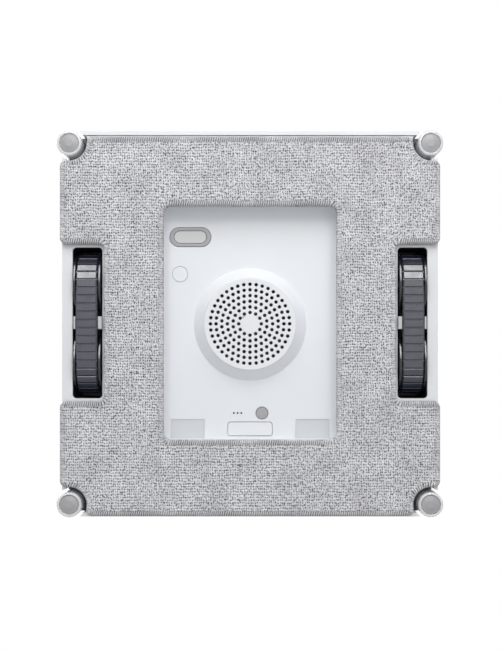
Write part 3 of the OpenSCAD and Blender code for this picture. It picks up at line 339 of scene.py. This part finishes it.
def towelling(name, painted_pit_shade, tip):
    """Looped pile: pale loops with painted shade in the pits between them in rows, cloudy patches and a fine
    fuzz.
    """
    look = Look(name, 0.95, specular=0.12, Sheen_Weight=0.2)
    height = look.node("Attribute", attribute_name="height").outputs["Fac"]
    pile_share = look.node("Attribute", attribute_name="pile").outputs["Fac"]
    fuzz = look.noise(FUZZ_SIZE, 3.0)
    inputs = {"Vector": look.place, "Scale": 1 / PIT_DRIFT_SIZE, "Detail": 2.0}
    drift = look.node("TexNoise", inputs).outputs["Color"]
    drifted = look.node("VectorMath", {0: drift, "Scale": PIT_DRIFT}, operation="SCALE").outputs[0]
    moved = look.node("VectorMath", {0: look.place, 1: drifted}, operation="ADD").outputs[0]
    inputs = {"Vector": moved, "Scale": (1 / PIT_PITCH_X, 1 / PIT_PITCH_Y, 1)}
    rows = look.node("Mapping", inputs).outputs["Vector"]
    inputs = {"Vector": rows, "Scale": 1.0, "Randomness": PIT_RANDOMNESS}
    pit = look.node("TexVoronoi", inputs, voronoi_dimensions="2D").outputs["Distance"]
    closed = look.spread(look.noise(PIT_CLOSED_SIZE, 3.0), -0.1, 0.17)
    open_pit = look.node("Math", {0: pit, 1: closed}, operation="ADD").outputs[0]
    middle = [between((v, t), MIDDLE_SHARE) for v, t in zip(painted_pit_shade, tip)]
    stops = [(0.13, shade(painted_pit_shade, 1)), (0.29, shade(middle, 1)), (0.46, shade(tip, 1))]
    # Painted shade: the pits between the loops take the near-black colour
    pit_painted_shade = look.ramp(open_pit, stops)
    # Painted shade in the stitches' dips, where the height is low
    stitch_painted_shade = look.ramp(height, [(0.05, shade(painted_pit_shade, 2)), (0.5, shade(middle, 1)), (0.85, shade(tip, 1))])
    cloth = look.mix(pile_share, stitch_painted_shade, pit_painted_shade)
    # Painted shade: the colour darkens where the pile is low, between the loops
    low_pile_painted_shade = look.spread(height, 0.7, 1.0, 0.2, 0.8)
    shaded = look.mix(1.0, cloth, look.ramp(low_pile_painted_shade, [(0.0, BLACK), (1.0, WHITE)]), "MULTIPLY")
    patch = look.ramp(look.noise(PATCH_SIZE, 4.0), [(0.3, PATCH_TONE), (0.7, WHITE)])
    look.colour(look.mix(1.0, shaded, patch, "MULTIPLY"))
    look.bump(fuzz, FUZZ_DEPTH)
    return look.material


PANEL_WHITE = linear(230, 233, 237)
# Past this height the panel has only its finger notches, whose colour is darkened as painted shade in the
# recesses
NOTCH_PAINTED_SHADE = (15.6 * MM, 0.84)
ROLLER_GLOW_DEPTH = 5 * MM
FINISHES = {
    # The near-black colour is painted shade for the pits between the loops
    "pad_microfibre": towelling("pad_microfibre", linear(13, 13, 17), linear(240, 240, 244)),
    "plate_grey": moulded("plate_grey", linear(214, 215, 217), 0.5),
    "casing_white": moulded("casing_white", linear(226, 228, 231), 0.36, depth=0.003 * MM, mottle=0.012),
    "panel_white": moulded("panel_white", PANEL_WHITE, 0.52, mottle=0.012, painted_light_by_depth=NOTCH_PAINTED_SHADE),
    "black_rubber": rubber("black_rubber", linear(38, 38, 40)),
    "housing_grey": moulded("housing_grey", linear(190, 193, 197), 0.55),
    "fan_dark": moulded("fan_dark", linear(72, 76, 82), 0.45),
    "steel": turned_metal("steel", linear(200, 201, 203)),
    "motor_metal": turned_metal("motor_metal", linear(176, 178, 182), 0.4),
    "key_grey": moulded("key_grey", linear(163, 163, 166), 0.48, depth=0.02 * MM),
    "button_grey": moulded("button_grey", linear(202, 202, 202), 0.4, depth=0.004 * MM),
    "black_plastic": moulded("black_plastic", linear(24, 25, 27), 0.4, depth=0.02 * MM, mottle=0.1),
    "lens_smoke": moulded("lens_smoke", linear(6, 6, 8), 0.5, specular=0.1, depth=0.002 * MM),
    "belt_rubber": rubber("belt_rubber", linear(32, 36, 54), 0.31, specular=0.8),
    "frame_grey": moulded("frame_grey", linear(190, 191, 192), 0.5),
    "wheel_black": moulded("wheel_black", linear(30, 31, 34), 0.16, depth=0.002 * MM, mottle=0.08),
    "bush_brass": turned_metal("bush_brass", linear(205, 178, 120), 0.3),
    "roller_white": moulded(
        "roller_white",
        linear(240, 241, 243),
        0.35,
        depth=0.004 * MM,
        mottle=0.012,
        Subsurface_Weight=0.8,
        Subsurface_Radius=(1.0, 1.0, 1.0),
        Subsurface_Scale=ROLLER_GLOW_DEPTH,
    ),
    "cell_blue": moulded("cell_blue", linear(60, 105, 170), 0.25, depth=0.01 * MM, mottle=0.06),
    "board_green": circuit_board("board_green", linear(40, 110, 70)),
    "grip_grey": rubber("grip_grey", linear(150, 152, 156), 0.6),
    "ring_clear": moulded("ring_clear", linear(225, 235, 245), 0.15, depth=0.004 * MM, mottle=0.03),
}


# Past its face, which lies nearer the glass, the grille's sloping flank has its colour made lighter as
# painted light
GRILLE_FACE_DEPTH = 0.3 * MM
FLANK_PAINTED_LIGHT = 1.12


def grille_finish():
    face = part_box("fan_grille")[0].z + GRILLE_FACE_DEPTH
    return moulded("grille_white", PANEL_WHITE, 0.5, mottle=0.012, painted_light_by_depth=(face, FLANK_PAINTED_LIGHT))


# The rigid pieces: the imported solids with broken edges
BEVEL_ANGLE = math.radians(35)
WELD = 0.004 * MM
EDGE = 0.35 * MM
REMADE = ("cleaning_pad", "track_belt_left", "track_belt_right")
EDGE_OF = {
    "handle": 3.2 * MM,
    "top_cover": 0.8 * MM,
    "handle_grip": 0.5 * MM,
    "base_tray": 0.5 * MM,
    "fan_grille": 0.25 * MM,
    "indicator_lenses": 0.1 * MM,
    "main_board": 0.15 * MM,
}


def smooth_group():
    """A node group that shades every face smooth, for the modifiers that follow it."""
    group = bpy.data.node_groups.new("smooth_faces", "GeometryNodeTree")
    group.interface.new_socket("Geometry", in_out="INPUT", socket_type="NodeSocketGeometry")
    group.interface.new_socket("Geometry", in_out="OUTPUT", socket_type="NodeSocketGeometry")
    start = group.nodes.new("NodeGroupInput")
    smooth = group.nodes.new("GeometryNodeSetShadeSmooth")
    end = group.nodes.new("NodeGroupOutput")
    group.links.new(start.outputs[0], smooth.inputs[0])
    group.links.new(smooth.outputs[0], end.inputs[0])
    return group


SMOOTH = smooth_group()


def soften(obj, width, segments=3):
    """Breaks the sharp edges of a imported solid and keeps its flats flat."""
    weld = obj.modifiers.new("weld", "WELD")
    weld.merge_threshold = WELD
    smooth = obj.modifiers.new("smooth_faces", "NODES")
    smooth.node_group = SMOOTH
    bevel = obj.modifiers.new("broken_edges", "BEVEL")
    bevel.width = width
    bevel.segments = segments
    bevel.limit_method = "ANGLE"
    bevel.angle_limit = BEVEL_ANGLE
    bevel.miter_outer = "MITER_ARC"
    normals = obj.modifiers.new("face_normals", "WEIGHTED_NORMAL")
    normals.weight = 100
    normals.keep_sharp = False


FINISH_OF = {"fan_grille": grille_finish()}
for node, obj in frame["nodes"].items():
    finish = FINISH_OF.get(node, FINISHES.get(SLOT_OF[node]))
    if finish:
        for slot in obj.material_slots:
            slot.material = finish
    if node not in REMADE:
        soften(obj, EDGE_OF.get(node, EDGE))


# Cleaning pad: a towelling frame of looped pile with an overlocked edge
PAD_STEP = 0.52 * MM
PAD_EDGE_R = 1.5 * MM
PILE_DEPTH = 0.8 * MM
LOOP_PITCH = 1.5 * MM
ROW_PITCH = 1.72 * MM
LOOP_HALF_LENGTH = 0.95 * MM
LOOP_HALF_WIDTH = 1.0 * MM
LOOP_SLANT = 0.5
LOOP_WANDER = (0.34, 0.3)
LOOP_LENGTHS = (0.8, 1.2)
LOOP_HEIGHTS = (0.62, 1.0)
HEM_WIDTH = 3.2 * MM
HEM_FADE = 0.9 * MM
STITCH_PITCH = 1.35 * MM
STITCH_DEPTH = 0.7 * MM
SEAM_DEPTH = 0.25 * MM
SEAM_HALF_WIDTH = 0.55 * MM
# How much painted shade darkens the seam's groove
SEAM_PAINTED_SHADE = 0.2
HEM_LOOP_SHARE = 0.8
PAD_BACK_GAP = 0.1 * MM
PAD_BACK_TONE = 0.3
PILE_SEED = 7
JITTER_TABLE = 256
# Each sway is (how far, over what length)
COLUMN_SWAY = (0.5 * MM, 19 * MM)
COLUMN_DRIFT = (0.4 * MM, 31 * MM)
ROW_SWAY = (0.9 * MM, 23 * MM)
ROW_SWAY_TURN = (0.7, 40 * MM)
ROW_RIPPLE = (0.5 * MM, 9 * MM)
ROW_RIPPLE_RISE = 33 * MM
STITCH_SWAYS = ((0.22, 7 * MM), (0.12, 2.9 * MM))
STITCH_LEAN = 0.16
STITCH_BOLDNESS = (0.25, 0.85)
BOLDNESS_SWING = 0.35
BOLDNESS_LENGTHS = (16 * MM, 6.1 * MM)


def outline_loops(node, level):
    """The closed outlines, largest first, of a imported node's flat face at height level."""
    mesh = bmesh.new()
    mesh.from_mesh(frame["nodes"][node].data)
    mesh.transform(frame["nodes"][node].matrix_world)
    bmesh.ops.remove_doubles(mesh, verts=mesh.verts, dist=WELD)
    flat = {f for f in mesh.faces if all(abs(v.co.z - level) < WELD for v in f.verts)}
    rim = {e for f in flat for e in f.edges if sum(g in flat for g in e.link_faces) == 1}
    mesh.edges.index_update()
    loops = []
    while rim:
        edge = min(rim, key=lambda e: e.index)
        rim.remove(edge)
        first, at = edge.verts
        points = [first.co.xy, at.co.xy]
        while at is not first:
            edge = next(e for e in at.link_edges if e in rim)
            rim.remove(edge)
            at = edge.other_vert(at)
            points.append(at.co.xy)
        loops.append(np.array(points[:-1], float))
    mesh.free()
    return sorted(loops, key=lambda p: -np.ptp(p[:, 0]))


def to_outline(points, loops):
    """For each point: how far inside the outline it is, the outline point nearest to it and how far along."""
    best = np.full(len(points), np.inf)
    nearest = np.zeros((len(points), 2))
    along = np.zeros(len(points))
    crossings = np.zeros(len(points), int)
    travelled = 0.0
    for loop in loops:
        for start, end in zip(loop, np.roll(loop, -1, axis=0)):
            step = end - start
            length = np.hypot(*step)
            share = np.clip(((points - start) @ step) / length**2, 0, 1)
            foot = start + share[:, None] * step
            distance = np.hypot(*(points - foot).T)
            closer = distance < best
            best[closer] = distance[closer]
            nearest[closer] = foot[closer]
            along[closer] = travelled + share[closer] * length
            above = (start[1] > points[:, 1]) != (end[1] > points[:, 1])
            if above.any():
                cross_x = start[0] + (points[above, 1] - start[1]) * step[0] / step[1]
                crossings[above] += points[above, 0] < cross_x
            travelled += length
    return np.where(crossings % 2 == 1, best, -best), nearest, along


def pile(points, random):
    """Height of the looped pile, 0 at its ground to 1 at the tallest loops' tips."""
    x, y = points.T
    u = x + COLUMN_SWAY[0] * np.sin(y / COLUMN_SWAY[1]) + COLUMN_DRIFT[0] * np.sin((x + y) / COLUMN_DRIFT[1])
    turn = ROW_SWAY_TURN[0] * np.sin(y / ROW_SWAY_TURN[1])
    ripple = ROW_RIPPLE[0] * np.sin(x / ROW_RIPPLE[1] - y / ROW_RIPPLE_RISE)
    v = y + ROW_SWAY[0] * np.sin(x / ROW_SWAY[1] + turn) + ripple
    table = random.random((JITTER_TABLE, JITTER_TABLE, 5))
    row = np.floor(v / ROW_PITCH).astype(int)
    height = np.zeros(len(points))
    for down in (-1, 0, 1):
        j = row + down
        shift = 0.5 * (j % 2)
        column = np.floor(u / LOOP_PITCH - shift).astype(int)
        for side in (-1, 0, 1):
            i = column + side
            jitter = table[i % JITTER_TABLE, j % JITTER_TABLE]
            centre_u = (i + 0.5 + shift + LOOP_WANDER[0] * (jitter[:, 0] - 0.5)) * LOOP_PITCH
            centre_v = (j + 0.5 + LOOP_WANDER[1] * (jitter[:, 1] - 0.5)) * ROW_PITCH
            slant = LOOP_SLANT * (2 * jitter[:, 2] - 1)
            du, dv = u - centre_u, v - centre_v
            stretch = between(LOOP_LENGTHS, jitter[:, 3])
            a = (du * np.cos(slant) + dv * np.sin(slant)) / (LOOP_HALF_LENGTH * stretch)
            b = (dv * np.cos(slant) - du * np.sin(slant)) / LOOP_HALF_WIDTH
            tip = between(LOOP_HEIGHTS, jitter[:, 4]) * np.sqrt(np.clip(1 - a * a - b * b, 0, 1))
            height = np.maximum(height, tip)
    return height


def fade(value, start, stop):
    """0 before start to 1 after stop, smoothly."""
    share = np.clip((value - start) / (stop - start), 0, 1)
    return share * share * (3 - 2 * share)


def pad_surface(inside, along, level, points, random):
    """Depth of the wiping face above the glass, and its height and share of pile for the colour.

    level is 1 where the nearest edge runs across the photograph and 0 where it runs up it.
    """
    loops = pile(points, random)
    wander = sum(far * np.sin(along / length) for far, length in STITCH_SWAYS)
    stitch = 0.5 + 0.5 * np.cos(2 * math.pi * (along / STITCH_PITCH + wander + STITCH_LEAN * inside / MM))
    swing = np.sin(along / BOLDNESS_LENGTHS[0]) * np.sin(along / BOLDNESS_LENGTHS[1] + 1.0)
    bold = between(STITCH_BOLDNESS, level) * (1 + BOLDNESS_SWING * swing)
    on_pile = fade(inside, HEM_WIDTH - HEM_FADE / 2, HEM_WIDTH + HEM_FADE / 2)
    seam = np.exp(-(((inside - HEM_WIDTH) / SEAM_HALF_WIDTH) ** 2))
    hem = 1 - bold * (1 - stitch) - (1 - bold) * HEM_LOOP_SHARE * (1 - loops)
    # The seam's groove gets painted shade: its colour height drops there
    height = on_pile * loops + (1 - on_pile) * hem - SEAM_PAINTED_SHADE * seam * (1 - stitch)
    depth = on_pile * PILE_DEPTH * (1 - loops) + (1 - on_pile) * STITCH_DEPTH * (1 - hem)
    depth += SEAM_DEPTH * seam * (1 - 0.5 * stitch)
    rounding = np.clip(PAD_EDGE_R - inside, 0, PAD_EDGE_R)
    depth += PAD_EDGE_R - np.sqrt(PAD_EDGE_R**2 - rounding**2)
    return depth, np.clip(height, 0, 1), on_pile


def make_pad():
    """The pad as one closed mesh: a pile face on a grid, a rounded rim and a flat back."""
    low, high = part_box("cleaning_pad")
    loops = outline_loops("cleaning_pad", low.z)
    columns = np.arange(low.x - PAD_STEP, high.x + 2 * PAD_STEP, PAD_STEP)
    rows = np.arange(low.y - PAD_STEP, high.y + 2 * PAD_STEP, PAD_STEP)
    grid = np.stack(np.meshgrid(columns, rows), -1)
    wide = len(columns)
    points = grid.reshape(-1, 2)
    inside, nearest, along = to_outline(points, loops)
    corner = np.arange(len(points)).reshape(len(rows), wide)
    cells = np.stack([corner[:-1, :-1], corner[1:, :-1], corner[1:, 1:], corner[:-1, 1:]], -1).reshape(-1, 4)
    kept = cells[inside[cells].mean(1) > 0]
    edges = np.sort(np.concatenate([kept[:, [k, (k + 1) % 4]] for k in range(4)]), axis=1)
    unique, count = np.unique(edges, axis=0, return_counts=True)
    rim = unique[count == 1]
    rim_points = np.unique(rim)
    points[rim_points] = nearest[rim_points]
    inside[rim_points] = 0
    used, faces = np.unique(kept, return_inverse=True)
    faces = faces.reshape(-1, 4)
    number = np.full(len(points), -1)
    number[used] = np.arange(len(used))
    offset = np.abs(points - nearest)[used]
    level = offset[:, 1] / np.maximum(offset.sum(1), WELD)
    random = np.random.default_rng(PILE_SEED)
    depth, height, share = pad_surface(np.abs(inside[used]), along[used], level, points[used], random)
    depth = np.clip(depth, 0, high.z - low.z - PAD_BACK_GAP)
    top = np.column_stack([points[used], low.z + depth])
    back = np.column_stack([points[rim_points], np.full(len(rim_points), high.z - PAD_BACK_GAP)])
    behind = {old: len(used) + k for k, old in enumerate(rim_points)}

    mesh = bpy.data.meshes.new("cleaning_pad_pile")
    oriented = {(a, b) for quad in kept for a, b in zip(quad, np.roll(quad, -1))}
    sides = []
    for a, b in rim:
        if (a, b) not in oriented:
            a, b = b, a
        sides.append([number[b], number[a], behind[a], behind[b]])
    mesh.from_pydata(np.vstack([top, back]).tolist(), [], faces.tolist() + sides)
    for name, values in (("height", height), ("pile", share)):
        attribute = mesh.attributes.new(name, "FLOAT", "POINT")
        values = np.concatenate([values, np.full(len(back), PAD_BACK_TONE)])
        attribute.data.foreach_set("value", values.astype(np.float32))
    shell = bmesh.new()
    shell.from_mesh(mesh)
    shell.verts.ensure_lookup_table()
    back_rim = [e for e in shell.edges if e.is_boundary]
    bmesh.ops.triangle_fill(shell, edges=back_rim, use_beauty=False, use_dissolve=False)
    bmesh.ops.recalc_face_normals(shell, faces=shell.faces)
    shell.to_mesh(mesh)
    shell.free()
    mesh.shade_smooth()
    pad = bpy.data.objects.new("cleaning_pad_pile", mesh)
    bpy.context.scene.collection.objects.link(pad)
    return pad


# Belts: moulded ribs that stay flat as the belt turns round its wheels
RIB_COUNT = 44
GROOVE_WIDTH = 0.8 * MM
GROOVE_DEPTH = 1.0 * MM
RIB_ROUND = 0.22 * MM
BELT_THICKNESS = 3.0 * MM
BELT_CHAMFER = 0.9 * MM
SHARP_ANGLE = math.radians(32)
GROOVE_FLOOR_SHARE = 0.8


def make_belt(node):
    """A ribbed belt round the two wheels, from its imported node's size."""
    low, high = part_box(node)
    middle = (low + high) / 2
    radius = (high.z - low.z) / 2
    base = high.y - low.y - 2 * radius
    half = (high.x - low.x) / 2
    turn = math.pi * radius
    pitch = (2 * base + 2 * turn) / RIB_COUNT

    def on_path(along):
        """Where the belt's outer face is, and which way it faces, this far round from the glass side."""
        lap, along = divmod(along % (2 * base + 2 * turn), base + turn)
        way = 1 - 2 * lap
        angle = max(0.0, along - base) / radius
        y = min(along, base) - base / 2
        out = Vector((0, math.sin(angle), -math.cos(angle))) * way
        return Vector((middle.x, middle.y + way * y, middle.z)) + out * radius, out

    edge = GROOVE_WIDTH / 2
    rib_profile = [
        (-edge - RIB_ROUND, 0),
        (-edge, -RIB_ROUND),
        (-edge * GROOVE_FLOOR_SHARE, -GROOVE_DEPTH),
        (edge * GROOVE_FLOOR_SHARE, -GROOVE_DEPTH),
        (edge, -RIB_ROUND),
        (edge + RIB_ROUND, 0),
    ]
    verts = []
    for rib in range(RIB_COUNT):
        for offset, height in rib_profile:
            point, out = on_path((rib + 0.5) * pitch + offset)
            side = min(height, -BELT_CHAMFER)
            across = [
                (-half, -BELT_THICKNESS),
                (-half, side),
                (BELT_CHAMFER - half, height),
                (half - BELT_CHAMFER, height),
                (half, side),
                (half, -BELT_THICKNESS),
            ]
            verts += [point + Vector((x, 0, 0)) + out * h for x, h in across]
    ring = len(across)
    faces = []
    for start in range(0, len(verts), ring):
        after = (start + ring) % len(verts)
        for k in range(ring):
            following = (k + 1) % ring
            faces.append([start + k, start + following, after + following, after + k])
    mesh = bpy.data.meshes.new(node + "_ribbed")
    mesh.from_pydata(verts, [], faces)
    solid = bmesh.new()
    solid.from_mesh(mesh)
    bmesh.ops.recalc_face_normals(solid, faces=solid.faces)
    solid.to_mesh(mesh)
    solid.free()
    mesh.shade_smooth()
    mesh.set_sharp_from_angle(angle=SHARP_ANGLE)
    belt = bpy.data.objects.new(node + "_ribbed", mesh)
    bpy.context.scene.collection.objects.link(belt)
    return belt


def stand_in(piece, node):
    """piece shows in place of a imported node, with that node's finish."""
    piece.data.materials.append(FINISHES[SLOT_OF[node]])
    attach(piece, "casing")
    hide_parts(node)


cleaning_pad = make_pad()
stand_in(cleaning_pad, "cleaning_pad")
for node in ("track_belt_left", "track_belt_right"):
    stand_in(make_belt(node), node)
